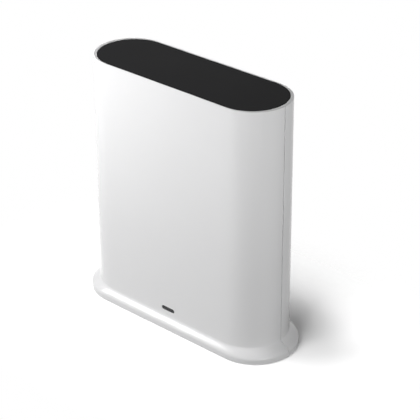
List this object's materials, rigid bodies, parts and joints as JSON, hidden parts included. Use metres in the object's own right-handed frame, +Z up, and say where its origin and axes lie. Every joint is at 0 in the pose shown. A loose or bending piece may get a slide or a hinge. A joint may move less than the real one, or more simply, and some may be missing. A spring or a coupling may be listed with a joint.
{
  "type": "security camera base station",
  "caption": "Slim upright base station for wireless security cameras: round-ended white housing on a flared foot, dark top panel, status light, rear ports and sync button.",
  "frame": {"origin": "middle of the foot on the table plane, under the rubber feet", "axes": "+Z up, +X along the long side, -Y towards the front with the status light, +Y towards the ports"},
  "size_m": [0.1242, 0.044, 0.1305],
  "materials": {
    "housing_white": "satin moulded plastic",
    "panel_black": "fine matt texture",
    "lens_smoke": "smoked, smooth",
    "guide_clear": "clear, polished",
    "foot_rubber": "matt",
    "port_black": "fine matt texture",
    "button_white": "satin",
    "switch_black": "matt",
    "board_green": "lacquered",
    "chip_black": "matt",
    "insulator_white": "matt",
    "screw_steel": "zinc plated",
    "sheet_steel": "bright tinned",
    "sink_aluminium": "bare",
    "contact_gold": "gold plated",
    "pad_grey": "soft pad",
    "ferrite_grey": "matt",
    "ceramic_tan": "matt",
    "lead_black": "smooth jacket",
    "tape_white": "foam tape"
  },
  "bodies": {
    "housing": {"front_shell": "housing_white", "rear_shell": "housing_white", "base_plate": "housing_white", "top_panel": "panel_black", "rubber_feet": "foot_rubber", "base_screws": "screw_steel", "status_lens": "lens_smoke", "light_guide": "guide_clear", "status_led": "insulator_white", "port_plate": "port_black", "sync_switch": "sheet_steel", "reset_switch": "sheet_steel", "main_board": "board_green", "board_screws": "screw_steel", "soc_chip": "chip_black", "memory_chips": "chip_black", "flash_chip": "chip_black", "radio_chips": "chip_black", "regulator_chips": "chip_black", "crystals": "sheet_steel", "chip_passives": "ceramic_tan", "power_inductors": "ferrite_grey", "capacitors": "sink_aluminium", "thermal_pad": "pad_grey", "heat_sink": "sink_aluminium", "heat_sink_pins": "switch_black", "wifi_shield": "sheet_steel", "hub_radio_shield": "sheet_steel", "ethernet_shell": "sheet_steel", "ethernet_insert": "port_black", "ethernet_contacts": "contact_gold", "ethernet_transformer": "chip_black", "usb_shell": "sheet_steel", "usb_tongue": "insulator_white", "usb_contacts": "contact_gold", "dc_jack_body": "port_black", "dc_jack_pin": "contact_gold", "dc_jack_spring": "contact_gold", "wifi_antenna_left": "board_green", "wifi_antenna_right": "board_green", "antenna_tapes": "tape_white", "antenna_cable_left": "lead_black", "antenna_cable_right": "lead_black", "coax_plugs": "contact_gold", "hub_radio_antenna": "contact_gold"},
    "sync_button": {"sync_button": "button_white", "sync_plunger": "switch_black"},
    "reset_button": {"reset_plunger": "switch_black"}
  },
  "joints": [
    {"name": "sync_press", "type": "slide", "parent": "housing", "child": "sync_button", "axis": [0, -1, 0], "range_m": [0, 0.0005], "stiffness_N_per_m": 3000, "springref_m": -0.0002},
    {"name": "reset_press", "type": "slide", "parent": "housing", "child": "reset_button", "axis": [0, -1, 0], "range_m": [0, 0.0003], "stiffness_N_per_m": 4000, "springref_m": -0.0002}
  ]
}
